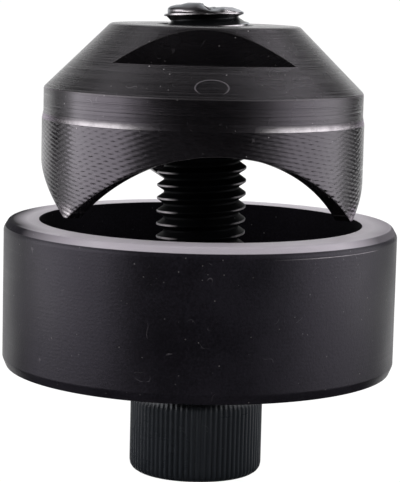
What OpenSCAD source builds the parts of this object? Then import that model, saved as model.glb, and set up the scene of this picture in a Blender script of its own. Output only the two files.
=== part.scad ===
// Knockout punch: a three-point punch, a ring die and the draw screw that pulls one into the other.
// The axis is Z, the head of the draw screw stands on Z = 0, and the punch stands open above the die.

/* [Punch] */
// Cutting diameter, the size of the hole that is punched
cut_d = 43.2; // [38:0.1:50]
// Shear teeth round the cutting edge
tooth_count = 3; // [3:1:6]
// Height of a tooth, from its point up to the top of the arch
tooth_h = 9.1; // [6:0.1:12]
// Width of the worn flat on the point of a tooth
tooth_land = 0.8; // [0.4:0.1:2]
// Turn of the front arch away from the wrench flats, in degrees
arch_turn = 6; // [-30:1:30]
// Full-diameter band that is left above the arches
band_h = 3.05; // [2:0.05:6]
// Height of the sloping ledge above the cutting band
ledge_h = 1; // [0.5:0.1:2]
// Step in from the cutting band to the relieved upper band
ledge_step = 0.2; // [0.1:0.05:1]
// Height of the relieved upper band
upper_band_h = 3.1; // [2:0.1:6]
// Height of the conical top
cone_h = 8.65; // [6:0.05:12]
// Diameter of the flat top face
top_d = 25.2; // [22:0.1:28]
// Distance across the two wrench flats
wrench_af = 25.8; // [22:0.1:30]
// Height of the wrench flats below the top face
wrench_h = 4.8; // [3:0.1:6]
// Thickness of the skirt wall behind the teeth
skirt_wall = 2.2; // [1.5:0.1:4]
// Depth of the hollow above the top of the arches
hollow_above_arch = 1.5; // [0.5:0.1:3]
// Radius in the corner of the hollow
hollow_corner_r = 1; // [0.3:0.1:2]

/* [Die] */
// Wall of the die round its bore
die_wall = 4.8; // [3.5:0.1:8]
// Depth of the bore, from the rim down to the floor
die_depth = 13.2; // [12:0.1:20]
// Thickness of the die floor
die_floor = 6.5; // [4:0.1:10]
// Width of the bevel outside the flat land of the rim
rim_bevel_w = 0.7; // [0.3:0.1:2]
// Height of the bevel outside the rim
rim_bevel_h = 1.2; // [0.5:0.1:3]
// Radius that blends the bevel into the outside of the die
rim_blend_r = 0.6; // [0.3:0.1:2]
// Width of the chamfer round the underside
foot_bevel_w = 0.5; // [0.3:0.1:2]
// Height of the chamfer round the underside
foot_bevel_h = 1.2; // [0.5:0.1:3]
// Radius in the corner of the bore and the floor
bore_corner_r = 1; // [0.3:0.1:2]

/* [Draw screw] */
// Thread diameter
screw_d = 12; // [10:1:14]
// Pitch of the thread, the rise of one turn
thread_pitch = 1.75; // [1.25:0.25:2.5]
// Depth of the thread in pitches
thread_depth_ratio = 0.58; // [0.5:0.01:0.61]
// Width of the thread's crest in pitches
thread_crest_ratio = 0.13; // [0.1:0.01:0.2]
// Diameter of the knurled head
head_d = 18; // [17:0.5:22]
// Height of the head
head_h = 12; // [10:0.5:14]
// Radius round the end of the head
head_round = 1.2; // [0.5:0.1:2]
// Height of the plain collar between the knurl and the washer
collar_h = 1.6; // [0.5:0.1:3]
// Step in from the knurl to the plain collar
collar_step = 0.3; // [0.1:0.1:1]
// Distance across the flats of the hex socket
socket_af = 10; // [8:0.5:11]
// Depth of the hex socket
socket_depth = 6; // [5:0.5:8]
// Length of the screw that stands out of the punch
end_proud = 2.9; // [1:0.1:6]
// Bevel on the end of the thread
end_bevel = 1; // [0.5:0.1:1.5]

/* [Thrust washer] */
// Outside diameter of the washer
washer_d = 20; // [17:0.5:26]
// Thickness of the washer
washer_t = 2.5; // [1.5:0.1:4]
// Edge bevel of the washer
washer_bevel = 0.3; // [0.1:0.1:0.6]

/* [Fits] */
// Radial gap between punch and die
shear_gap = 0.1; // [0.05:0.05:0.3]
// Radial gap between the screw and the bore of the punch
thread_gap = 0.05; // [0.02:0.01:0.1]
// Radial gap between the screw and the hole in the die floor
floor_hole_gap = 0.25; // [0.2:0.05:0.5]
// Radial gap between the screw and the washer
washer_gap = 0.5; // [0.2:0.05:0.8]
// Room for the sheet between the rim and the points of the punch
open_gap = 1.5; // [0.5:0.1:6]

/* [Hidden] */
$fn = 96;
cut_past = 1;
arch_steps = 40;
corner_steps = 6;

cut_r = cut_d / 2;
upper_r = cut_r - ledge_step;
top_r = top_d / 2;
hollow_r = cut_r - skirt_wall;
screw_r = screw_d / 2;
head_r = head_d / 2;
bore_r = cut_r + shear_gap;
die_r = bore_r + die_wall;
land_r = die_r - rim_bevel_w;
punch_bore_r = screw_r + thread_gap;
floor_hole_r = screw_r + floor_hole_gap;

// Heights above the floor, stacked from the head of the screw upwards
washer_z = head_h;
die_z = washer_z + washer_t;
die_h = die_floor + die_depth;
punch_z = die_z + die_h + open_gap;

// Heights above the points of the teeth
hollow_h = tooth_h + hollow_above_arch;
ledge_z = tooth_h + band_h;
upper_band_z = ledge_z + ledge_h;
shoulder_z = upper_band_z + upper_band_h;
punch_h = shoulder_z + cone_h;
screw_top = punch_z + punch_h + end_proud;

// The thread is cut as level grooves, one for each turn, from the washer up to the bevel on the end
thread_depth = thread_depth_ratio * thread_pitch;
root_r = screw_r - thread_depth;
crest_w = thread_crest_ratio * thread_pitch;
root_w = thread_pitch - crest_w - 2 * thread_depth * tan(30);
thread_turns = floor((screw_top - end_bevel - die_z) / thread_pitch);
thread_z = screw_top - end_bevel - thread_turns * thread_pitch;

// One arch spans the angle between two teeth. Across the span it is an arc of this radius
arch_half_angle = 180 / tooth_count - asin(tooth_land / 2 / cut_r);
arch_half_span = cut_r * sin(min(arch_half_angle, 90));
arch_r = (pow(arch_half_span, 2) + pow(tooth_h, 2)) / (2 * tooth_h);
arch_inner = hollow_r * cos(arch_half_angle) / 2;
arch_outer = cut_r + cut_past;

// Points on an arc, from angle a0 to angle a1 about c
function arc(c, r, a0, a1) =
    [for (i = [0:corner_steps]) let (a = a0 + (a1 - a0) * i / corner_steps) c + r * [cos(a), sin(a)]];

// Height of the cutting edge above the points, at an angle from the middle of an arch
function edge_height(a) = tooth_h - arch_r + sqrt(pow(arch_r, 2) - pow(cut_r * sin(a), 2));

// One arched cut: a wedge of level rulings that all run to the axis of the punch
module arch_cut() {
    angles = [for (i = [0:arch_steps]) arch_half_angle * (2 * i / arch_steps - 1)];
    crown = [for (a = angles) [arch_inner * tan(a), edge_height(a)]];
    reach = arch_inner * tan(arch_half_angle);
    translate([0, -arch_inner, 0])
        rotate([90, 0, 0])
        linear_extrude(height = arch_outer - arch_inner, scale = [arch_outer / arch_inner, 1], slices = 1)
        polygon(concat(crown, [[reach, -cut_past], [-reach, -cut_past]]));
}

// Turned body of the punch, with its hollow underside and the bore for the screw
module punch_blank() {
    rotate_extrude()
        polygon(concat(
            [[hollow_r, 0], [cut_r, 0], [cut_r, ledge_z], [upper_r, upper_band_z]],
            [[upper_r, shoulder_z], [top_r, punch_h], [punch_bore_r, punch_h], [punch_bore_r, hollow_h]],
            arc([hollow_r - hollow_corner_r, hollow_h - hollow_corner_r], hollow_corner_r, 90, 0)
        ));
}

// Space beside one wrench flat, open to the top
module wrench_cut() {
    translate([-cut_r, -cut_r - wrench_af / 2, punch_h - wrench_h])
        cube([cut_d, cut_r, wrench_h + cut_past]);
}

module punch() {
    color([0.10, 0.095, 0.10])
        translate([0, 0, punch_z])
        difference() {
            punch_blank();
            for (i = [0:tooth_count - 1]) rotate([0, 0, arch_turn + i * 360 / tooth_count]) arch_cut();
            for (turn = [0, 180]) rotate([0, 0, turn]) wrench_cut();
        }
}

module die() {
    bevel_angle = atan(rim_bevel_w / rim_bevel_h);
    blend_z = die_h - rim_bevel_h - rim_blend_r * tan(bevel_angle / 2);
    color([0.085, 0.08, 0.085])
        translate([0, 0, die_z])
        rotate_extrude()
        polygon(concat(
            [[floor_hole_r, 0], [die_r - foot_bevel_w, 0], [die_r, foot_bevel_h]],
            arc([die_r - rim_blend_r, blend_z], rim_blend_r, 0, bevel_angle),
            [[land_r, die_h], [bore_r, die_h]],
            arc([bore_r - bore_corner_r, die_floor + bore_corner_r], bore_corner_r, 0, -90),
            [[floor_hole_r, die_floor]]
        ));
}

// Hex socket with the cone that the drill leaves at its end
module hex_socket() {
    corner_r = socket_af / 2 / cos(30);
    drill_r = socket_af / 2;
    translate([0, 0, -cut_past]) cylinder(r = corner_r, h = socket_depth + cut_past, $fn = 6);
    translate([0, 0, socket_depth]) cylinder(r1 = drill_r, r2 = 0, h = drill_r * tan(30));
}

// Section of one thread groove, from the crest below it to the crest above it
function groove(z) = let (flank_w = thread_depth * tan(30)) [
    [screw_r, z], [root_r, z + flank_w], [root_r, z + flank_w + root_w], [screw_r, z + thread_pitch - crest_w]
];

module draw_screw() {
    collar_r = head_r - collar_step;
    collar_z = head_h - collar_h;
    color([0.07, 0.075, 0.08])
        difference() {
            rotate_extrude()
                polygon(concat(
                    [[0, 0]],
                    arc([head_r - head_round, head_round], head_round, -90, 0),
                    [[head_r, collar_z], [collar_r, collar_z], [collar_r, head_h], [screw_r, head_h]],
                    [for (i = [0:thread_turns - 1], p = groove(thread_z + i * thread_pitch)) p],
                    [[screw_r, screw_top - end_bevel], [screw_r - end_bevel, screw_top], [0, screw_top]]
                ));
            hex_socket();
        }
}

module thrust_washer() {
    outer_r = washer_d / 2;
    inner_r = screw_r + washer_gap;
    color([0.09, 0.085, 0.09])
        translate([0, 0, washer_z])
        rotate_extrude()
        polygon([
            [inner_r, 0], [outer_r - washer_bevel, 0], [outer_r, washer_bevel],
            [outer_r, washer_t - washer_bevel], [outer_r - washer_bevel, washer_t], [inner_r, washer_t]
        ]);
}

draw_screw();
thrust_washer();
die();
punch();
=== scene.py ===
# %% [markdown]
# # A knockout punch
# A knockout punch cuts a clean round hole in sheet metal. A hollow punch with three pointed teeth
# stands on one side of the sheet and a ring die on the other, and a draw screw pulls them together.
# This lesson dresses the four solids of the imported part: punch, die, draw screw and thrust washer.
# All of them are turned steel with a black oxide finish, so the shapes come from spinning sections,
# and the looks come from fine turning marks, worn edges and a white studio with a dark front.

# %% Load the frame
import math

import bmesh
import bpy
from mathutils import Euler, Matrix, Vector, noise


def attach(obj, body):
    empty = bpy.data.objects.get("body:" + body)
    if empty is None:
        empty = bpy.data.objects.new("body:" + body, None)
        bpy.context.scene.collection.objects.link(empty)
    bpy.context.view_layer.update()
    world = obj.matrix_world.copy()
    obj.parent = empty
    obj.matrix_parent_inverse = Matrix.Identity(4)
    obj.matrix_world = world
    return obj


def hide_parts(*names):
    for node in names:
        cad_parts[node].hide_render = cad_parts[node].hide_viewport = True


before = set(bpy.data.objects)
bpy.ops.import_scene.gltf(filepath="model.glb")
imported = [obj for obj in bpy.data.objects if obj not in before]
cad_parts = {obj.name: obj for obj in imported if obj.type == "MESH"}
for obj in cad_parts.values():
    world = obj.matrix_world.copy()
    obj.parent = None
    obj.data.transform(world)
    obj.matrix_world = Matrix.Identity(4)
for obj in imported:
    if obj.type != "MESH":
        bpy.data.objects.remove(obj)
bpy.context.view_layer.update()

# %% [markdown]
# ## The camera
# The camera comes first, because every later choice is judged through it. The photograph was taken
# from a little above the rim of the die with a long lens, and it leans by a degree and a half, which
# a roll about the line of sight gives. The lens follows from how far the outlines spread.

# %% Camera
MM = 0.001
CAMERA_PLACE = (0.0, -267.44, 67.63)
CAMERA_DOWN = 0.1345
CAMERA_PAN = 0.0001
CAMERA_ROLL = 0.0242
CAMERA_LENS = 148.9

camera_data = bpy.data.cameras.new("photo_camera")
camera_data.lens = CAMERA_LENS
camera_data.sensor_width = 36.0
camera_data.clip_start = 0.01
camera_data.clip_end = 40.0
camera = bpy.data.objects.new("photo_camera", camera_data)
aim = Euler((math.pi / 2 - CAMERA_DOWN, 0.0, CAMERA_PAN)).to_matrix()
lean = Matrix.Rotation(CAMERA_ROLL, 3, "Z")
camera.matrix_world = Matrix.Translation(MM * Vector(CAMERA_PLACE)) @ (aim @ lean).to_4x4()
bpy.context.scene.collection.objects.link(camera)
bpy.context.scene.camera = camera
print("camera looks from", CAMERA_PLACE, "mm through a lens of", CAMERA_LENS, "mm")

# %% [markdown]
# ## Helpers for turned pieces
# A lathe makes every piece here, and a spin is Blender's lathe. Each piece starts as a wire section
# in the XZ plane, in millimetres. Its corners are rounded with a vertex bevel while it is still a
# wire, which is far easier than rounding the finished solid, and then it is spun all the way round.


# %% Section and spin
def wire_section(points, closed=True):
    """A wire through (radius, height) points. A third value is the radius that rounds the corner."""
    bm = bmesh.new()
    verts = [bm.verts.new((point[0], 0.0, point[1])) for point in points]
    for a, b in zip(verts, verts[1:]):
        bm.edges.new((a, b))
    if closed:
        bm.edges.new((verts[-1], verts[0]))
    for vert, point in zip(verts, points):
        if len(point) == 3:
            bmesh.ops.bevel(
                bm, geom=[vert], offset=point[2], offset_type="OFFSET",
                segments=4, profile=0.5, affect="VERTICES", material=-1,
            )
    return bm


def spin_round(bm, steps):
    """Spins the wire all the way round Z and closes the seam."""
    bmesh.ops.spin(
        bm, geom=bm.verts[:] + bm.edges[:], cent=(0, 0, 0), axis=(0, 0, 1), dvec=(0, 0, 0),
        angle=math.tau, steps=steps, use_merge=True,
    )
    close_up(bm)


def close_up(bm):
    """Merges doubles and points all faces outwards."""
    bmesh.ops.remove_doubles(bm, verts=bm.verts[:], dist=2e-4)
    bmesh.ops.recalc_face_normals(bm, faces=bm.faces[:])


# %% [markdown]
# ### Handing a piece over
# A piece is scaled from millimetres to metres last of all. Edges that turn sharply stay crisp, the
# others shade smoothly, and weighted normals keep large faces even beside narrow roundings. Then the
# piece is parented to the body it rides on, the solid it replaces is hidden, and it gets its finish.


# %% Finish a piece
def finish_piece(bm, name, body, node, material, sharp=38.0):
    """Scales millimetres to metres, shades the mesh and hands the piece to the frame."""
    bmesh.ops.scale(bm, vec=(MM, MM, MM), verts=bm.verts[:])
    for face in bm.faces:
        face.smooth = True
    for edge in bm.edges:
        if len(edge.link_faces) == 2:
            edge.smooth = edge.calc_face_angle(0.0) < math.radians(sharp)
    mesh = bpy.data.meshes.new(name)
    bm.to_mesh(mesh)
    open_edges = sum(1 for e in bm.edges if not e.is_manifold)
    bm.free()
    piece = bpy.data.objects.new(name, mesh)
    bpy.context.scene.collection.objects.link(piece)
    piece.data.materials.append(material)
    normals = piece.modifiers.new("even_normals", "WEIGHTED_NORMAL")
    normals.mode = "FACE_AREA"
    normals.weight = 100
    normals.keep_sharp = True
    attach(piece, body)
    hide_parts(node)
    print(name, len(mesh.polygons), "faces,", open_edges, "open edges")


# %% [markdown]
# ### Place on a turned piece
# Wear isn't the same all round a used tool, and some marks here are painted highlights and painted
# shade, which follow the lamps. On a turned piece, the distance from the axis and the heading round
# it say where a vertex is, and a fade between two values gives each mark a soft end.


# %% Radius, heading and fade
def radius_of(v):
    return math.hypot(v.co.x, v.co.y)


def heading_of(v):
    """Degrees away from the front, negative to the left."""
    return math.degrees(math.atan2(v.co.x, -v.co.y))


def fade(value, low, high):
    """0 up to low, 1 from high on."""
    return min(1.0, max(0.0, (value - low) / (high - low)))


# %% [markdown]
# ## Finishes
# Black oxide is a thin dark skin on bare steel. It reflects about as much as a dark varnish, so it
# is shaded as a nearly black base with a plain specular coat, and only worn places turn metallic.
# Effects that the pieces share are node groups: fine rings from the lathe tool, dust and lint, and
# hairline scratches. Each group puts out a mask or a height, and the material mixes them in. A few
# helpers keep the wiring short: each takes numbers or sockets and gives back an output socket.


# %% Group and value helpers
def new_group(name, inputs, outputs):
    """A shader node group, with its input and output nodes."""
    group = bpy.data.node_groups.new(name, "ShaderNodeTree")
    for label, kind, value in inputs:
        socket = group.interface.new_socket(label, in_out="INPUT", socket_type=kind)
        if value is not None:
            socket.default_value = value
    for label, kind in outputs:
        group.interface.new_socket(label, in_out="OUTPUT", socket_type=kind)
    return group, group.nodes.new("NodeGroupInput"), group.nodes.new("NodeGroupOutput")


def feed(tree, socket, value):
    """Sets a socket to a number, or links it to another socket."""
    if isinstance(value, (int, float)):
        socket.default_value = value
    else:
        tree.links.new(value, socket)


def math_node(tree, operation, *values, clamp=False):
    node = tree.nodes.new("ShaderNodeMath")
    node.operation = operation
    node.use_clamp = clamp
    for socket, value in zip(node.inputs, values):
        feed(tree, socket, value)
    return node.outputs[0]


def ramp(tree, value, low, high, to_low=0.0, to_high=1.0):
    """A smooth step of value from low to high."""
    node = tree.nodes.new("ShaderNodeMapRange")
    node.interpolation_type = "SMOOTHSTEP"
    tree.links.new(value, node.inputs["Value"])
    for label, number in (("From Min", low), ("From Max", high), ("To Min", to_low), ("To Max", to_high)):
        node.inputs[label].default_value = number
    return node.outputs["Result"]


def thin_line(tree, value, middle, half_width):
    """1 where the value lies within half_width of the middle."""
    off = math_node(tree, "ABSOLUTE", math_node(tree, "SUBTRACT", value, middle))
    return math_node(tree, "LESS_THAN", off, half_width)


# %% Vector helpers
def split_xyz(tree, vector):
    node = tree.nodes.new("ShaderNodeSeparateXYZ")
    tree.links.new(vector, node.inputs[0])
    return node.outputs


def combine_xyz(tree, x, y, z):
    node = tree.nodes.new("ShaderNodeCombineXYZ")
    for socket, value in zip(node.inputs, (x, y, z)):
        feed(tree, socket, value)
    return node.outputs[0]


def length_of(tree, a, b):
    """Length of the flat vector (a, b)."""
    squares = math_node(tree, "ADD", math_node(tree, "MULTIPLY", a, a), math_node(tree, "MULTIPLY", b, b))
    return math_node(tree, "SQRT", squares)


# %% Noise, attribute and colour helpers
def noise_node(tree, vector, scale, detail=2.0, roughness=0.5, dimensions="3D"):
    node = tree.nodes.new("ShaderNodeTexNoise")
    node.noise_dimensions = dimensions
    node.inputs["Scale"].default_value = scale
    node.inputs["Detail"].default_value = detail
    node.inputs["Roughness"].default_value = roughness
    tree.links.new(vector, node.inputs["W" if dimensions == "1D" else "Vector"])
    return node.outputs[0]


def attribute(tree, name):
    """One of the piece's own attributes, as a value from 0 to 1."""
    node = tree.nodes.new("ShaderNodeAttribute")
    node.attribute_name = name
    return node.outputs["Fac"]


def mix_colour(tree, factor, a, b):
    """Mixes two colours, given as tuples or sockets, by a factor socket."""
    node = tree.nodes.new("ShaderNodeMix")
    node.data_type = "RGBA"
    tree.links.new(factor, node.inputs["Factor"])
    for socket, value in ((node.inputs[6], a), (node.inputs[7], b)):
        if isinstance(value, tuple):
            socket.default_value = (*value, 1.0)
        else:
            tree.links.new(value, socket)
    return node.outputs[2]


# %% [markdown]
# ### Turning marks
# A lathe tool leaves a fine spiral groove. Height along the axis minus distance from the axis grows
# steadily along a wall, a cone and a flat face alike, so that one measure carries the rings on all
# of them. Below a given height the rings climb by Slant as they go round, and Crossing adds a second
# set that climbs the other way. The two together give the woven look of the punch's skirt. Above that
# height an uneven grain of rings takes over, and Streaks marks where the tool left a smoother band.


# %% Turning marks group
def make_turning_marks():
    tree, given, out = new_group(
        "turning_marks",
        [("Position", "NodeSocketVector", None), ("Pitch mm", "NodeSocketFloat", 0.35),
         ("Slant", "NodeSocketFloat", 0.0), ("Slant top mm", "NodeSocketFloat", 0.0),
         ("Crossing", "NodeSocketFloat", 0.0)],
        [("Height", "NodeSocketFloat"), ("Streaks", "NodeSocketFloat")],
    )
    position = given.outputs["Position"]
    x, y, z = split_xyz(tree, position)
    along = math_node(tree, "MULTIPLY", math_node(tree, "SUBTRACT", z, length_of(tree, x, y)), 1000.0)
    waved = math_node(tree, "MULTIPLY_ADD", noise_node(tree, position, 90.0, 1.0), 0.5, along)
    rings = math_node(tree, "MULTIPLY", math_node(tree, "DIVIDE", waved, given.outputs["Pitch mm"]), math.tau)
    height_mm = math_node(tree, "MULTIPLY", z, 1000.0)
    below = math_node(tree, "LESS_THAN", height_mm, given.outputs["Slant top mm"])
    turned = math_node(tree, "MULTIPLY", math_node(tree, "ARCTAN2", y, x), below)
    climb = math_node(tree, "MULTIPLY", turned, given.outputs["Slant"])

    crossing = math_node(tree, "MULTIPLY", given.outputs["Crossing"], below)
    plain_depth = math_node(tree, "MULTIPLY_ADD", below, 0.34, 0.08)
    first_depth = math_node(tree, "MULTIPLY_ADD", crossing, 0.08, plain_depth)
    first = math_node(tree, "SINE", math_node(tree, "ADD", rings, climb))
    second_depth = math_node(tree, "MULTIPLY", crossing, 0.36)
    wider = math_node(tree, "MULTIPLY", rings, 0.77)
    second = math_node(tree, "SINE", math_node(tree, "MULTIPLY_ADD", climb, -1.6, wider))
    waves = math_node(tree, "ADD", math_node(tree, "MULTIPLY", first, first_depth),
                      math_node(tree, "MULTIPLY", second, second_depth))

    grain = noise_node(tree, along, 3.2, 4.0, 0.75, "1D")
    grain_depth = math_node(tree, "MULTIPLY_ADD", below, -1.4, 2.4)
    tree.links.new(math_node(tree, "MULTIPLY_ADD", grain, grain_depth, waves), out.inputs["Height"])
    squeezed = combine_xyz(tree, math_node(tree, "MULTIPLY", x, 60.0), math_node(tree, "MULTIPLY", y, 60.0),
                           math_node(tree, "MULTIPLY", along, 2.6))
    bands = ramp(tree, noise_node(tree, squeezed, 1.0, 3.0, 0.65), 0.52, 0.78)
    tree.links.new(bands, out.inputs["Streaks"])
    return tree


TURNING_MARKS = make_turning_marks()
print("group", TURNING_MARKS.name, "with", len(TURNING_MARKS.nodes), "nodes")

# %% [markdown]
# ### Dust and lint
# Pale specks lie all over the dark faces. A Voronoi cell gives each speck its own place, and a test on
# the cell's random colour keeps only a share of them and gives each one its size and its strength.


# %% Dust group
def make_dust():
    tree, given, out = new_group(
        "dust_specks",
        [("Position", "NodeSocketVector", None), ("Cell mm", "NodeSocketFloat", 0.9),
         ("Share", "NodeSocketFloat", 0.2)],
        [("Mask", "NodeSocketFloat")],
    )
    cells = tree.nodes.new("ShaderNodeTexVoronoi")
    tree.links.new(given.outputs["Position"], cells.inputs["Vector"])
    tree.links.new(math_node(tree, "DIVIDE", 1000.0, given.outputs["Cell mm"]), cells.inputs["Scale"])
    pick = tree.nodes.new("ShaderNodeSeparateColor")
    tree.links.new(cells.outputs["Color"], pick.inputs[0])
    kept = math_node(tree, "LESS_THAN", pick.outputs[0], given.outputs["Share"])
    size = math_node(tree, "MULTIPLY_ADD", pick.outputs[1], 0.10, 0.035)
    reach = math_node(tree, "DIVIDE", cells.outputs["Distance"], size)
    near = math_node(tree, "SUBTRACT", 1.0, reach, clamp=True)
    speck = math_node(tree, "MULTIPLY", math_node(tree, "MULTIPLY", near, 1.6, clamp=True), kept)
    strength = math_node(tree, "MULTIPLY_ADD", pick.outputs[2], 0.7, 0.3)
    tree.links.new(math_node(tree, "MULTIPLY", speck, strength), out.inputs["Mask"])
    return tree


DUST = make_dust()
print("group", DUST.name, "with", len(DUST.nodes), "nodes")

# %% [markdown]
# ### Hairline scratches
# A scratch is a thin curved line that stops and starts. Where a smooth noise passes through its middle
# value it draws such lines, like the contours on a map, and a second noise lets only short stretches
# of them show.


# %% Scratch group
def make_scratches():
    tree, given, out = new_group(
        "hairline_scratches", [("Position", "NodeSocketVector", None)], [("Mask", "NodeSocketFloat")],
    )
    position = given.outputs["Position"]
    line = thin_line(tree, noise_node(tree, position, 300.0, 1.0), 0.5, 0.0045)
    seen = ramp(tree, noise_node(tree, position, 420.0, 2.0), 0.60, 0.72)
    tree.links.new(math_node(tree, "MULTIPLY", line, seen), out.inputs["Mask"])
    return tree


SCRATCHES = make_scratches()
print("group", SCRATCHES.name, "with", len(SCRATCHES.nodes), "nodes")

# %% [markdown]
# ### A scratched oval
# Something round once stood on the cone and left a thin oval scratch that is open at its lower side.
# It is drawn on the front of the cone, from where its middle is and how far it reaches each way.

# %% Oval group
OVAL_X = 1.0
OVAL_Z = 53.3
OVAL_HALF_WIDTH = 2.1
OVAL_HALF_HEIGHT = 0.95


def make_oval():
    tree, given, out = new_group(
        "scratched_oval", [("Position", "NodeSocketVector", None)], [("Mask", "NodeSocketFloat")],
    )
    x, y, z = split_xyz(tree, given.outputs["Position"])
    across = math_node(tree, "DIVIDE", math_node(tree, "SUBTRACT", x, MM * OVAL_X), MM * OVAL_HALF_WIDTH)
    up = math_node(tree, "DIVIDE", math_node(tree, "SUBTRACT", z, MM * OVAL_Z), MM * OVAL_HALF_HEIGHT)
    line = thin_line(tree, length_of(tree, across, up), 1.0, 0.05)
    front = math_node(tree, "LESS_THAN", y, 0.0)
    open_below = ramp(tree, up, -0.85, -0.3)
    drawn = math_node(tree, "MULTIPLY", math_node(tree, "MULTIPLY", line, front), open_below)
    tree.links.new(drawn, out.inputs["Mask"])
    return tree


OVAL = make_oval()
print("group", OVAL.name, "with", len(OVAL.nodes), "nodes")

# %% [markdown]
# ### Black oxide
# One builder makes the four finishes, each with its own tone, roughness and strength of marks. Base
# colour, roughness, metallic and bump change over the surface, and what is the same all over is set
# on the shader's own sockets. The builder starts from an empty finish, places the shared groups in it
# and lays one colour over another where a group's mask says so.


# %% Finish helpers
def new_finish(name, ior, tint):
    """An empty finish. Gives the material, its shader and the place on the piece."""
    material = bpy.data.materials.new(name)
    material.use_nodes = True
    tree = material.node_tree
    tree.nodes.clear()
    output = tree.nodes.new("ShaderNodeOutputMaterial")
    shader = tree.nodes.new("ShaderNodeBsdfPrincipled")
    tree.links.new(shader.outputs[0], output.inputs["Surface"])
    shader.inputs["IOR"].default_value = ior
    shader.inputs["Specular Tint"].default_value = (*tint, 1.0)
    return material, shader, tree.nodes.new("ShaderNodeTexCoord").outputs["Object"]


def place_group(tree, kind, place, **values):
    """Places a shared group with its own values. Gives its outputs."""
    node = tree.nodes.new("ShaderNodeGroup")
    node.node_tree = kind
    tree.links.new(place, node.inputs["Position"])
    for label, value in values.items():
        node.inputs[label.replace("_", " ")].default_value = value
    return node.outputs


def lay_over(tree, colour, mask, strength, over):
    """Lays a colour over another where the mask is, as strongly as given."""
    return mix_colour(tree, math_node(tree, "MULTIPLY", mask, strength), colour, over)


# %% [markdown]
# Three attributes of a piece mark its skin: wear bares shiny steel, ground leaves matte grey steel,
# and dull takes the gloss off. In a few places they also paint light: wear draws painted highlights,
# and less ground or more dull draws painted shade. Worn steel is patchy, so a noise breaks it up, and
# the tool marks are a bump, because they are far too fine for the mesh.

# %% Worn steel and tool marks
STEEL = (0.42, 0.40, 0.41)
MARK_DEPTH = 0.00002


def wear_through(tree, shader, place, colour):
    """Bares shiny steel where the piece is worn."""
    patch = ramp(tree, noise_node(tree, place, 700.0, 3.0, 0.6), 0.25, 0.6, 0.7, 1.0)
    worn = math_node(tree, "MULTIPLY", attribute(tree, "wear"), patch)
    tree.links.new(mix_colour(tree, worn, colour, STEEL), shader.inputs["Base Color"])
    tree.links.new(ramp(tree, worn, 0.0, 0.25), shader.inputs["Metallic"])


def bump_marks(tree, shader, height, strength):
    """Presses the marks into the surface."""
    bump = tree.nodes.new("ShaderNodeBump")
    bump.inputs["Strength"].default_value = strength
    bump.inputs["Distance"].default_value = MARK_DEPTH
    tree.links.new(height, bump.inputs["Height"])
    tree.links.new(bump.outputs[0], shader.inputs["Normal"])


# %% Black oxide builder
GROUND_STEEL = (0.40, 0.375, 0.405)
SCRATCH_TONE = (0.2, 0.19, 0.2)
OVAL_TONE = (0.30, 0.28, 0.30)
DUST_TONE = (0.55, 0.53, 0.52)
HAIR_STRENGTH = 0.22
PUNCH_Z = 35.7
LEDGE_Z = 12.15


def black_oxide(name, tone, tint, rough, marks, pitch, streaks, dust, specks, ior=1.45, grain=0.0,
                slant=0.0, crossing=0.0, oval=0.0, ground_tone=None):
    """A black oxide finish. tone is the skin, tint its gloss and ground_tone the steel ground bare."""
    material, shader, place = new_finish(name, ior, tint)
    tree = material.node_tree
    lathe = place_group(tree, TURNING_MARKS, place, Pitch_mm=pitch, Slant=slant, Crossing=crossing,
                        Slant_top_mm=PUNCH_Z + LEDGE_Z)
    cloud = noise_node(tree, place, 100.0, 3.0)
    fine = noise_node(tree, place, 3200.0, 3.0, 0.7)
    mottle = math_node(tree, "MULTIPLY_ADD", math_node(tree, "SUBTRACT", fine, 0.5), 1.2, cloud)
    darker = tuple(0.6 * c for c in tone)
    lighter = tuple(1.4 * c for c in tone)
    colour = mix_colour(tree, ramp(tree, mottle, 0.25, 0.75), darker, lighter)
    cloudy = ramp(tree, cloud, 0.25, 0.75, rough - 0.04, rough + 0.06)
    roughness = math_node(tree, "MULTIPLY_ADD", lathe["Streaks"], -streaks, cloudy)
    hair_strength = HAIR_STRENGTH
    if ground_tone:
        dull = attribute(tree, "dull")
        hair_strength = math_node(tree, "MULTIPLY_ADD", dull, -HAIR_STRENGTH, HAIR_STRENGTH)
        roughness = math_node(tree, "MULTIPLY_ADD", dull, 0.3, roughness)
        gloss = math_node(tree, "MULTIPLY_ADD", dull, -0.36, 0.5)
        tree.links.new(gloss, shader.inputs["Specular IOR Level"])

    hairs = place_group(tree, SCRATCHES, place)["Mask"]
    colour = lay_over(tree, colour, hairs, hair_strength, SCRATCH_TONE)
    if oval:
        colour = lay_over(tree, colour, place_group(tree, OVAL, place)["Mask"], oval, OVAL_TONE)
    specks_mask = place_group(tree, DUST, place, Share=specks)["Mask"]
    colour = lay_over(tree, colour, specks_mask, dust, DUST_TONE)
    if ground_tone:
        colour = mix_colour(tree, attribute(tree, "ground"), colour, ground_tone)
    wear_through(tree, shader, place, colour)
    tree.links.new(roughness, shader.inputs["Roughness"])
    bump_marks(tree, shader, math_node(tree, "MULTIPLY_ADD", fine, grain, lathe["Height"]), marks)
    print("finish", name, "with", len(tree.nodes), "nodes")
    return material


# %% [markdown]
# The punch is the glossiest piece and keeps the clearest tool marks. The die is satin, with a fine
# grain. The screw is a shade bluer, and the washer is plain.

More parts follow.
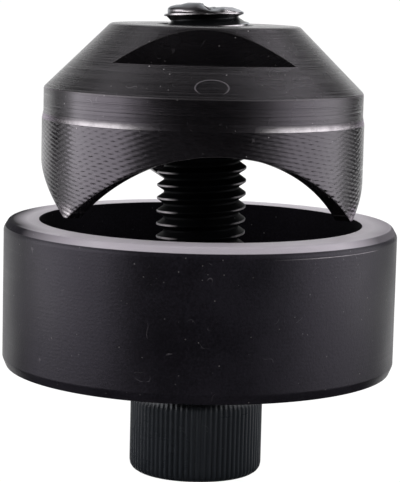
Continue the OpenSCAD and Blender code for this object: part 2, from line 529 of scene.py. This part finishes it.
# %% The four finishes
PURPLE = (0.91, 0.85, 1.0)
punch_finish = black_oxide(
    "punch_black_oxide", tone=(0.0062, 0.0057, 0.0064), tint=(0.97, 0.89, 1.0), rough=0.24, marks=0.95,
    pitch=0.55, streaks=0.14, dust=0.5, specks=0.5, slant=45.0, crossing=1.0, oval=0.24,
)
die_finish = black_oxide(
    "die_black_oxide", tone=(0.0070, 0.0064, 0.0088), tint=PURPLE, rough=0.40, marks=0.10,
    pitch=0.5, streaks=0.03, dust=0.35, specks=0.5, ior=1.30, grain=12.0, ground_tone=GROUND_STEEL,
)
screw_finish = black_oxide(
    "screw_black_oxide", tone=(0.0042, 0.0046, 0.0052), tint=(0.92, 0.96, 1.0), rough=0.28, marks=0.05,
    pitch=0.3, streaks=0.02, dust=0.4, specks=0.08, ior=1.28, ground_tone=(0.33, 0.39, 0.46),
)
washer_finish = black_oxide(
    "washer_black_oxide", tone=(0.0075, 0.0072, 0.0078), tint=PURPLE, rough=0.40, marks=0.3,
    pitch=0.4, streaks=0.08, dust=0.3, specks=0.10,
)

# %% [markdown]
# ## The punch
# The punch is a turned cup with a conical top. Its cutting rim is shaped into three arches that meet
# in points, so the sheet is sheared from three places inwards. On the lathe it would be a plain ring,
# and the arches are milled afterwards. Here the section is spun first, and then the vertices of its
# lowest rings are lifted to the height of the arch at their own angle. The sloping ledge above the
# skirt has a few rings more than its shape needs. They carry a painted highlight: a line of bare steel
# at the left and right, where the side lamps reflect, which breaks off at the front.

# %% Punch section
CUT_R = 21.6
UPPER_R = 21.4
HOLLOW_R = 19.4
TOP_R = 12.6
PUNCH_BORE_R = 6.05
BORE_BEVEL = 0.5
HOLLOW_H = 10.6
LEDGE_H = 1.0
LEDGE_STEP = CUT_R - UPPER_R
SHOULDER_Z = 16.25
PUNCH_H = 24.9
TIP_RINGS = (0.08, 0.17)
LEDGE_HIGHLIGHT_RINGS = (0.05, 0.22, 0.9)

punch_bm = wire_section(
    [(HOLLOW_R, 0), (CUT_R, 0)]
    + [(CUT_R, LEDGE_Z * t) for t in TIP_RINGS] + [(CUT_R, LEDGE_Z)]
    + [(CUT_R - LEDGE_STEP * t, LEDGE_Z + LEDGE_H * t) for t in LEDGE_HIGHLIGHT_RINGS]
    + [(UPPER_R, LEDGE_Z + LEDGE_H), (UPPER_R, SHOULDER_Z, 0.22), (TOP_R, PUNCH_H, 0.3),
       (PUNCH_BORE_R + BORE_BEVEL, PUNCH_H), (PUNCH_BORE_R, PUNCH_H - BORE_BEVEL),
       (PUNCH_BORE_R, HOLLOW_H), (HOLLOW_R, HOLLOW_H, 1.0)],
)
spin_round(punch_bm, 360)
punch_wear_and_highlight = punch_bm.verts.layers.float.new("wear")
highlight_top = LEDGE_Z + LEDGE_H * LEDGE_HIGHLIGHT_RINGS[-1] - 0.01
for v in punch_bm.verts:
    # Painted highlight: the ledge rings turn to shiny steel only towards the left and right.
    if LEDGE_Z + 0.02 < v.co.z < highlight_top and radius_of(v) > UPPER_R:
        v[punch_wear_and_highlight] = 0.45 * fade(-heading_of(v), 16, 29) + 0.65 * fade(heading_of(v), 17, 26)
    elif abs(v.co.z - SHOULDER_Z) < 0.06:
        v[punch_wear_and_highlight] = 0.2
print("punch section spun to", len(punch_bm.faces), "faces")

# %% [markdown]
# Each arch is an arc across its span, and the edge is level from the outside to the hollow. A tooth
# ends in a narrow worn land, which the angle limit leaves flat, and its tip is rubbed bright.

# %% Arches
TOOTH_COUNT = 3
TOOTH_H = 9.1
TOOTH_LAND = 0.8
ARCH_TURN = 6.0
TIP_WORN_H = 0.16 * LEDGE_Z
arch_half_angle = 180 / TOOTH_COUNT - math.degrees(math.asin(TOOTH_LAND / 2 / CUT_R))
arch_half_span = CUT_R * math.sin(math.radians(arch_half_angle))
arch_r = (arch_half_span ** 2 + TOOTH_H ** 2) / (2 * TOOTH_H)


def edge_height(x, y):
    """Height of the cutting edge above the points, in the direction of (x, y)."""
    spacing = 360 / TOOTH_COUNT
    a = (math.degrees(math.atan2(y, x)) + 90 - ARCH_TURN + spacing / 2) % spacing - spacing / 2
    if abs(a) >= arch_half_angle:
        return 0.0
    return TOOTH_H - arch_r + math.sqrt(arch_r ** 2 - (CUT_R * math.sin(math.radians(a))) ** 2)


rim_verts = {v for v in punch_bm.verts if v.co.z < 1e-3}
for v in punch_bm.verts:
    if v.co.z < 0.2 * LEDGE_Z:
        edge = edge_height(v.co.x, v.co.y)
        v[punch_wear_and_highlight] = max(0.0, max(0.0, 0.9 - edge) * (1 - v.co.z / TIP_WORN_H))
        v.co.z = edge + v.co.z * (1 - edge / LEDGE_Z)
cutting_edges = [
    e for e in punch_bm.edges
    if rim_verts.issuperset(e.verts) and abs(radius_of(e.verts[0]) - radius_of(e.verts[1])) < 0.01
]
highest = max(v.co.z for v in rim_verts)
print("arches lifted to", round(highest, 2), "mm,", len(cutting_edges), "edges to break")

# %% [markdown]
# The wrench flats are milled into the cone on two sides. Cutting the mesh twice with a plane gives the
# outline of the milled space, then the faces inside it are deleted, and the flat and its ledge are
# filled in as two new faces.

# %% Wrench flats
WRENCH_AF = 25.8
WRENCH_H = 4.8
OFF_AXIS = 8


def mill_flat(bm, side):
    """Mills one wrench flat on the side -1 or 1 of the Y axis. Gives the edges round it."""
    wall = side * WRENCH_AF / 2
    ledge = PUNCH_H - WRENCH_H

    def beside(face):
        return face.calc_center_median().y * side > OFF_AXIS

    near = [f for f in bm.faces if max(v.co.z for v in f.verts) > ledge - 1 and beside(f)]
    for co, no in (((0, 0, ledge), (0, 0, 1)), ((0, wall, 0), (0, side, 0))):
        geom = set(near)
        for face in near:
            geom.update(face.verts)
            geom.update(face.edges)
        bmesh.ops.bisect_plane(bm, geom=list(geom), dist=1e-4, plane_co=co, plane_no=no)
        near = [f for f in bm.faces if min(v.co.z for v in f.verts) > ledge - 1e-3 and beside(f)]
    milled = [f for f in near if f.calc_center_median().y * side > wall * side]
    bmesh.ops.delete(bm, geom=milled, context="FACES")
    rim = [e for e in bm.edges if e.is_boundary]
    wall_edges = [e for e in rim if all(abs(v.co.y - wall) < 1e-3 for v in e.verts)]
    ledge_edges = [e for e in rim if e not in wall_edges]
    ends = {v for e in wall_edges for v in e.verts} & {v for e in ledge_edges for v in e.verts}
    chord = bm.edges.new(list(ends))
    bmesh.ops.contextual_create(bm, geom=wall_edges + [chord])
    bmesh.ops.contextual_create(bm, geom=ledge_edges + [chord])
    bmesh.ops.recalc_face_normals(bm, faces=bm.faces[:])
    return wall_edges + ledge_edges


flat_edges = mill_flat(punch_bm, -1) + mill_flat(punch_bm, 1)
print("wrench flats milled,", len(flat_edges), "edges round them")

# %% [markdown]
# No edge on a used tool is perfectly sharp. A narrow bevel breaks the cutting edges and the rims of
# the flats, and the vertices inside it carry the attribute wear, so that steel shines through there.


# %% Broken edges
def break_edges(bm, edges, width, amount, wear):
    """Bevels the edges and wears the bevel. Gives the number of faces made."""
    made = bmesh.ops.bevel(
        bm, geom=edges, offset=width, offset_type="OFFSET", segments=2, profile=0.5,
        affect="EDGES", clamp_overlap=True, material=-1,
    )
    bevelled = set(made["faces"])
    for v in made["verts"]:
        if all(f in bevelled for f in v.link_faces):
            v[wear] = amount
    return len(bevelled)


arch_faces = break_edges(punch_bm, cutting_edges, width=0.10, amount=0.25, wear=punch_wear_and_highlight)
flat_edges = [e for e in flat_edges if e.is_valid]
flat_faces = break_edges(punch_bm, flat_edges, width=0.08, amount=0.3, wear=punch_wear_and_highlight)
print("edges broken with", arch_faces, "faces round the arches and", flat_faces, "round the flats")
bmesh.ops.translate(punch_bm, vec=(0, 0, PUNCH_Z), verts=punch_bm.verts[:])
finish_piece(punch_bm, "punch_body", "punch", "punch", punch_finish)

# %% [markdown]
# ## The die
# The die is a heavy ring with a floor. Its rim carries a flat land round the bore with a steep bevel
# outside, and a narrow chamfer runs round its foot. The whole ring is one section spun round. Extra
# rings on the land and the wall give the attributes of the next step their places.

# %% Die section
DIE_Z = 14.5
DIE_R = 26.5
BORE_R = 21.7
DIE_H = 19.7
DIE_FLOOR = 6.5
FLOOR_HOLE_R = 6.25
RIM_BEVEL_W = 0.7
RIM_BEVEL_H = 1.2
FOOT_BEVEL_W = 0.5
FOOT_BEVEL_H = 1.2
GROUND_TO = 0.65
TOOL_MARK_Z = DIE_H - 1.6
TOOL_MARK_HALF = 0.07

die_bm = wire_section(
    [(FLOOR_HOLE_R, 0, 0.2), (DIE_R - FOOT_BEVEL_W, 0, 0.15), (DIE_R, FOOT_BEVEL_H, 0.15)]
    + [(DIE_R, TOOL_MARK_Z + TOOL_MARK_HALF * side) for side in (-1, 0, 1)]
    + [(DIE_R, DIE_H - RIM_BEVEL_H, 0.2)]
    + [(DIE_R - RIM_BEVEL_W * (1 - t), DIE_H - RIM_BEVEL_H * t) for t in (GROUND_TO + 0.06, GROUND_TO)]
    + [(DIE_R - RIM_BEVEL_W, DIE_H, 0.35), (BORE_R + 3.6, DIE_H), (BORE_R + 1.6, DIE_H),
       (BORE_R, DIE_H, 0.12), (BORE_R, DIE_FLOOR, 1.0), (FLOOR_HOLE_R, DIE_FLOOR, 0.2)],
)
spin_round(die_bm, 240)
print("die section spun to", len(die_bm.faces), "faces")

# %% [markdown]
# The rim rubs on the sheet at every cut, so it is ground bare and matte. At its two ends, as seen
# from the front, painted shade takes it back to the dark oxide, most of all on the left. One bright
# tool mark runs below the rim on the right, and the bore is given painted shade: less gloss and more
# roughness, where the ring closes round it.


# %% Die wear
def rim_end_shade(v):
    """Share of painted shade at the rim's ends, drawn as black oxide left on the rim."""
    heading = heading_of(v)
    on_bevel = v.co.z < DIE_H - 0.05
    near_bore = radius_of(v) < BORE_R + 2
    if heading < 0:
        most = 0.1 if near_bore else 1.0
        bevel_from = 30
    else:
        most = 0.12 if near_bore else 0.8 if on_bevel else 0.42
        bevel_from = 44
    nearness = fade(abs(heading), bevel_from, 62) if on_bevel else fade(abs(heading), 48, 70)
    return most * nearness * (1 - fade(abs(heading), 105, 125))


die_wear = die_bm.verts.layers.float.new("wear")
die_ground_and_shade = die_bm.verts.layers.float.new("ground")
die_dull_and_shade = die_bm.verts.layers.float.new("dull")
for v in die_bm.verts:
    # Painted shade at the rim's ends: less bare steel and less gloss there.
    if v.co.z > DIE_H - RIM_BEVEL_H * GROUND_TO - 0.01 and radius_of(v) > BORE_R + 0.1:
        v[die_ground_and_shade] = 1 - rim_end_shade(v)
        v[die_dull_and_shade] = rim_end_shade(v)
    # Painted shade in the bore: less gloss and more roughness.
    elif radius_of(v) < BORE_R + 0.1 and v.co.z > 0.5:
        v[die_dull_and_shade] = 1.0
    elif abs(v.co.z - TOOL_MARK_Z) < 0.01:
        v[die_wear] = 0.4 * fade(heading_of(v), 20, 34) * (1 - fade(heading_of(v), 56, 61))
bmesh.ops.translate(die_bm, vec=(0, 0, DIE_Z), verts=die_bm.verts[:])
finish_piece(die_bm, "die_ring", "die", "die", die_finish)

# %% [markdown]
# ## The draw screw
# The draw screw is a socket cap screw. Its head is a spun section whose side vertices are then pushed
# in between the ridges of a straight knurl, and whose socket ring is pushed out to a hexagon. The
# number of steps is a multiple of the ridges and of six, so every ridge and corner has a vertex.

# %% Screw head
HEAD_R = 9.0
HEAD_H = 12.0
HEAD_ROUND = 1.2
COLLAR_R = 8.7
COLLAR_Z = 10.4
COLLAR_BEVEL = 0.2
SCREW_R = 6.0
SOCKET_R = 5.0
SOCKET_DEPTH = 6.0
SHANK_TOP = 14.9
RIDGES = 76
STEPS_A_RIDGE = 6
KNURL_DEPTH = 0.20
KNURL_SHAPE = (1.0, 0.6, 0.15, 0.0, 0.15, 0.6)

head_bm = wire_section(
    [(0, SOCKET_DEPTH + SOCKET_R * math.tan(math.radians(30))), (SOCKET_R - 0.05, SOCKET_DEPTH),
     (SOCKET_R, SOCKET_DEPTH), (SOCKET_R, 0), (HEAD_R, 0, HEAD_ROUND), (HEAD_R, HEAD_ROUND + 0.6),
     (HEAD_R, COLLAR_Z - 0.75), (COLLAR_R, COLLAR_Z), (COLLAR_R, HEAD_H - COLLAR_BEVEL),
     (COLLAR_R - COLLAR_BEVEL, HEAD_H), (SCREW_R, HEAD_H), (SCREW_R, SHANK_TOP)],
    closed=False,
)
spin_round(head_bm, RIDGES * STEPS_A_RIDGE)
for v in head_bm.verts:
    r = radius_of(v)
    angle = math.atan2(v.co.y, v.co.x)
    if r > HEAD_R - HEAD_ROUND and v.co.z < COLLAR_Z - 0.1:
        step = round(angle / math.tau * RIDGES * STEPS_A_RIDGE) % STEPS_A_RIDGE
        deep = KNURL_DEPTH * KNURL_SHAPE[step] * fade(r, HEAD_R - 0.6, HEAD_R)
        v.co.x *= (r - deep) / r
        v.co.y *= (r - deep) / r
    elif abs(r - SOCKET_R) < 0.01 and v.co.z < SOCKET_DEPTH + 0.01:
        off_flat = (math.degrees(angle) + 30) % 60 - 30
        v.co.x /= math.cos(math.radians(off_flat))
        v.co.y /= math.cos(math.radians(off_flat))
print("screw head with", RIDGES, "ridges,", len(head_bm.faces), "faces")

# %% [markdown]
# ## The thread
# A thread is one V-shaped section that climbs as it turns. Spin has a setting for that: dvec moves the
# section up a little with each step. One turn is spun and copied up the screw, because a spin of many
# turns is slow. The top of one turn meets the bottom of the next, and merging doubles makes it one
# skin. Planes trim both ends, and a bridge joins the skin to the shank.

# %% Thread
PITCH = 1.75
ROOT_R = 5.08
CREST_EDGE = 0.1
TURN_STEPS = 72
TURNS = 31
THREAD_START = 12.61

thread_bm = wire_section(
    [(ROOT_R, 0), (ROOT_R, 0.26), (SCREW_R - CREST_EDGE, 0.82), (SCREW_R, 0.90), (SCREW_R, 1.11),
     (SCREW_R - CREST_EDGE, 1.19), (ROOT_R, PITCH)],
    closed=False,
)
bmesh.ops.translate(thread_bm, vec=(0, 0, THREAD_START), verts=thread_bm.verts[:])
bmesh.ops.spin(
    thread_bm, geom=thread_bm.verts[:] + thread_bm.edges[:], cent=(0, 0, 0), axis=(0, 0, 1),
    dvec=(0, 0, PITCH / TURN_STEPS), angle=math.tau, steps=TURN_STEPS,
)
one_turn = thread_bm.verts[:] + thread_bm.edges[:] + thread_bm.faces[:]
for number in range(1, TURNS):
    copied = bmesh.ops.duplicate(thread_bm, geom=one_turn)["geom"]
    copied_verts = [g for g in copied if isinstance(g, bmesh.types.BMVert)]
    bmesh.ops.translate(thread_bm, vec=(0, 0, PITCH * number), verts=copied_verts)
close_up(thread_bm)
print("thread of", TURNS, "turns,", len(thread_bm.faces), "faces")

# %% [markdown]
# The crests carry painted highlights on two sides: bare steel where the side lamps reflect. Turning
# in the punch has rubbed the end of the screw brightest. That end is tapered, so the crests are pulled
# in towards the top.

# %% Thread ends
THREAD_FOOT = 15.2
END_TAPER_Z = 60.5
END_CUT_Z = 62.25
END_R = 5.35
WORN_END_Z = END_TAPER_Z - 0.4

for co, no in (((0, 0, THREAD_FOOT), (0, 0, -1)), ((0, 0, END_CUT_Z), (0.02, 0, 1))):
    bmesh.ops.bisect_plane(
        thread_bm, geom=thread_bm.verts[:] + thread_bm.edges[:] + thread_bm.faces[:], dist=1e-4,
        plane_co=co, plane_no=no, clear_outer=True,
    )
thread_wear_and_highlight = thread_bm.verts.layers.float.new("wear")
for v in thread_bm.verts:
    heading = heading_of(v)
    on_crest = radius_of(v) > SCREW_R - 0.05
    if on_crest and v.co.z > WORN_END_Z:
        v[thread_wear_and_highlight] = 0.9
    # Painted highlights: crests turn to shiny steel towards the left and right.
    elif on_crest and abs(heading) < 100:
        v[thread_wear_and_highlight] = fade(-heading, 30, 50) + 0.6 * fade(heading, 40, 60)
    if v.co.z > END_TAPER_Z:
        narrower = 1 + (END_R / SCREW_R - 1) * (v.co.z - END_TAPER_Z) / (END_CUT_Z - END_TAPER_Z)
        narrower *= 1.0 if on_crest else 0.94
        v.co.x *= narrower
        v.co.y *= narrower
print("thread trimmed to", len(thread_bm.faces), "faces")

# %% [markdown]
# The end of the real screw is roughly cut off. Its rim is drawn into a ring, and a few narrower rings
# are extruded inwards from it, each with its own lift and unevenness, so the end face comes out
# tilted, dished and lumpy.

# %% Screw end
SCREW_TOP = 63.5
RIM_R = 5.1
END_RINGS = ((0.99, 0.28, 0.1), (0.93, 0.22, 0.2), (0.84, 0.12, 0.4), (0.7, 0.0, 0.4), (0.5, -0.1, 0.3))
LUMP_PLACE = Vector((3.1, 1.7, 0.0))

ring = [e for e in thread_bm.edges if e.is_boundary and min(v.co.z for v in e.verts) > END_CUT_Z - 1]
for v in {v for e in ring for v in e.verts}:
    r = radius_of(v)
    v.co.x *= RIM_R / r
    v.co.y *= RIM_R / r
    v[thread_wear_and_highlight] = 0.6
for narrower, lift, uneven in END_RINGS:
    made = bmesh.ops.extrude_edge_only(thread_bm, edges=ring)["geom"]
    inner = [g for g in made if isinstance(g, bmesh.types.BMVert)]
    ring = [g for g in made if isinstance(g, bmesh.types.BMEdge) and g.is_boundary]
    bmesh.ops.scale(thread_bm, vec=(narrower, narrower, 1.0), verts=inner)
    for v in inner:
        bulge = 0.2 * math.exp(-((v.co.x + 1.8) ** 2 + (v.co.y + 1.5) ** 2) / 5)
        v.co.z += lift + bulge + uneven * noise.noise(0.42 * v.co + LUMP_PLACE)
        v.co.z = min(v.co.z, SCREW_TOP - 0.02)
        v[thread_wear_and_highlight] = 0.8 if v.co.x > 2.4 else 0.2
bmesh.ops.contextual_create(thread_bm, geom=ring)
print("screw end capped,", len(thread_bm.faces), "faces in the thread")

# %% [markdown]
# Both halves of the screw still have one open loop, and a bridge closes the gap between them. The
# thread is dull with old oil, and handling has greyed the knurl. The grey is less towards the bottom of
# the head, and just under the collar it gives way to painted shade beneath the die.

# %% Join thread and head
thread_mesh = bpy.data.meshes.new("thread_part")
thread_bm.to_mesh(thread_mesh)
thread_bm.free()
head_bm.from_mesh(thread_mesh)
bpy.data.meshes.remove(thread_mesh)
bmesh.ops.bridge_loops(head_bm, edges=[e for e in head_bm.edges if e.is_boundary])
close_up(head_bm)
screw_grey_and_shade = head_bm.verts.layers.float.new("ground")
screw_dull = head_bm.verts.layers.float.new("dull")
for v in head_bm.verts:
    if HEAD_H < v.co.z < WORN_END_Z:
        v[screw_dull] = 1.0
    if v.co.z < HEAD_H - 0.05:
        greyed = 0.036 + 0.024 * fade(v.co.z, 0, 5)
        # Painted shade beneath the die: the grey fades out under the collar.
        v[screw_grey_and_shade] = greyed * (1 - fade(v.co.z, COLLAR_Z - 1, COLLAR_Z))
finish_piece(head_bm, "draw_screw_body", "screw", "draw_screw", screw_finish, sharp=50.0)

# %% [markdown]
# ## The thrust washer
# A plain hardened washer takes the push of the head. It hides under the die from the photographed
# side, and it shows when the tool is seen from below. Four corners, rounded and spun, are all of it.

# %% Washer
WASHER_Z = 12.0
WASHER_T = 2.5
WASHER_R = 10.0
WASHER_HOLE_R = 6.5

washer_bm = wire_section(
    [(WASHER_HOLE_R, 0, 0.15), (WASHER_R, 0, 0.3), (WASHER_R, WASHER_T, 0.3),
     (WASHER_HOLE_R, WASHER_T, 0.15)],
)
spin_round(washer_bm, 144)
washer_bm.verts.layers.float.new("wear")
bmesh.ops.translate(washer_bm, vec=(0, 0, WASHER_Z), verts=washer_bm.verts[:])
finish_piece(washer_bm, "thrust_washer_ring", "screw", "thrust_washer", washer_finish)

# %% [markdown]
# ## The studio
# Black steel shows its surroundings. The photograph has a white sweep behind and beside the tool and
# a dark room in front of it, so the faces towards the camera are nearly black and the sides are grey.
# The white comes from the world and the floor. Both look white to the camera and in reflections, and
# give less light than that to the steel.


# %% World
def seen_white(tree):
    """1 for rays from the camera and for mirror and glass rays, 0 for the light that rays gather."""
    path = tree.nodes.new("ShaderNodeLightPath")
    total = math_node(tree, "ADD", path.outputs["Is Camera Ray"], path.outputs["Is Glossy Ray"])
    return math_node(tree, "ADD", total, path.outputs["Is Transmission Ray"], clamp=True)


AMBIENT = 0.5
world = bpy.data.worlds.new("white_studio")
bpy.context.scene.world = world
world.use_nodes = True
sky = world.node_tree
backdrop = sky.nodes["Background"]
backdrop.inputs["Color"].default_value = (1.0, 1.0, 1.0, 1.0)
strength = math_node(sky, "MULTIPLY_ADD", seen_white(sky), 1.0 - AMBIENT, AMBIENT)
sky.links.new(strength, backdrop.inputs["Strength"])
print("white world, with", AMBIENT, "of its light on the steel")

# %% Floor
FLOOR_HALF = 12.0
FLOOR_WHITE = 1.06
WHITE_SHARE = 0.95

floor_bm = bmesh.new()
bmesh.ops.create_grid(floor_bm, x_segments=1, y_segments=1, size=FLOOR_HALF)
floor_mesh = bpy.data.meshes.new("floor")
floor_bm.to_mesh(floor_mesh)
floor_bm.free()
floor = bpy.data.objects.new("floor", floor_mesh)
bpy.context.scene.collection.objects.link(floor)
floor_finish = bpy.data.materials.new("white_floor")
floor_finish.use_nodes = True
ground = floor_finish.node_tree
ground.nodes.clear()
paper = ground.nodes.new("ShaderNodeBsdfDiffuse")
paper.inputs["Color"].default_value = (0.85, 0.85, 0.85, 1.0)
white = ground.nodes.new("ShaderNodeEmission")
white.inputs["Strength"].default_value = FLOOR_WHITE
blend = ground.nodes.new("ShaderNodeMixShader")
ground.links.new(math_node(ground, "MULTIPLY", seen_white(ground), WHITE_SHARE), blend.inputs[0])
ground.links.new(paper.outputs[0], blend.inputs[1])
ground.links.new(white.outputs[0], blend.inputs[2])
ground.links.new(blend.outputs[0], ground.nodes.new("ShaderNodeOutputMaterial").inputs["Surface"])
floor.data.materials.append(floor_finish)
floor.visible_glossy = False
print("white floor,", 2 * FLOOR_HALF, "m wide")

# %% [markdown]
# The dark room is a set of dark cards round the tool. A curved screen stands behind the camera, a
# fan lies just under the floor, open towards the back, and a roof and a cap hang overhead. Three
# narrow flags at the back give the sides of the punch their dark stripes. The camera doesn't see the
# cards, but the steel does. The roof, the cap and the flags leave the light alone and show only in
# reflections.


# %% Dark cards
def dark_card(name, section, half_angle, heading=0, steps=24):
    """A dark screen round Z. heading turns its middle away from the front, to the right."""
    bm = wire_section(section, closed=False)
    start = Matrix.Rotation(math.radians(heading - 90 - half_angle), 3, "Z")
    bmesh.ops.rotate(bm, cent=(0, 0, 0), matrix=start, verts=bm.verts[:])
    bmesh.ops.spin(
        bm, geom=bm.verts[:] + bm.edges[:], cent=(0, 0, 0), axis=(0, 0, 1), dvec=(0, 0, 0),
        angle=math.radians(2 * half_angle), steps=steps,
    )
    bmesh.ops.scale(bm, vec=(MM, MM, MM), verts=bm.verts[:])
    mesh = bpy.data.meshes.new(name)
    bm.to_mesh(mesh)
    bm.free()
    card = bpy.data.objects.new(name, mesh)
    bpy.context.scene.collection.objects.link(card)
    finish = bpy.data.materials.new(name)
    finish.use_nodes = True
    shader = finish.node_tree.nodes["Principled BSDF"]
    shader.inputs["Base Color"].default_value = (0.01, 0.01, 0.01, 1.0)
    shader.inputs["Roughness"].default_value = 1.0
    card.data.materials.append(finish)
    card.visible_camera = False
    return card


# %% The cards in their places
FLAG_R = 560
dark_card("dark_front", [(170, -30), (600, -110), (600, 420), (480, 560)], 42)
dark_card("dark_under", [(170, -6), (0.5, -6)], 120, steps=72)
mirrored_only = [
    dark_card("dark_roof", [(480, 560), (0.5, 600)], 100),
    dark_card("dark_cap", [(220, 598), (0.5, 598)], 180),
    dark_card("dark_left", [(FLAG_R, -40), (FLAG_R, 800)], 8, heading=-125, steps=6),
    dark_card("dark_right", [(FLAG_R, -40), (FLAG_R, 700)], 13, heading=137, steps=6),
    dark_card("dark_high", [(FLAG_R, 150), (FLAG_R, 620)], 9, heading=-140, steps=6),
]
for card in mirrored_only:
    card.visible_diffuse = False
    card.visible_shadow = False
print("dark front and underside, and", len(mirrored_only), "cards that only show in reflections")

# %% [markdown]
# Four soft boxes light the tool. One hangs overhead and only lights it, without a reflection of its
# own. Two tall ones stand left and right, beside the tool, and draw the two upright highlights on the
# punch. A small one high on the right lifts the edge of the cone.


# %% Lamps
def soft_box(name, place, aim, width, height, power):
    data = bpy.data.lights.new(name, "AREA")
    data.shape = "RECTANGLE"
    data.size = width
    data.size_y = height
    data.energy = power
    data.color = (0.99, 0.965, 1.0)
    lamp = bpy.data.objects.new(name, data)
    lamp.location = place
    lamp.rotation_euler = (Vector(aim) - Vector(place)).to_track_quat("-Z", "Y").to_euler()
    bpy.context.scene.collection.objects.link(lamp)
    return lamp


top_box = soft_box("top_box", (0.0, 0.10, 0.50), (0, 0, 0.03), width=0.60, height=0.60, power=2.2)
top_box.visible_glossy = False
soft_box("left_box", (-0.45, -0.09, 0.05), (0, 0, 0.03), width=0.46, height=0.50, power=3.0)
soft_box("right_box", (0.45, -0.04, 0.05), (0, 0, 0.03), width=0.46, height=0.50, power=2.1)
soft_box("high_box", (0.40, 0.14, 0.55), (0, 0, 0.05), width=0.10, height=0.18, power=0.45)
bpy.context.scene.view_settings.view_transform = "Standard"
print("four soft boxes")
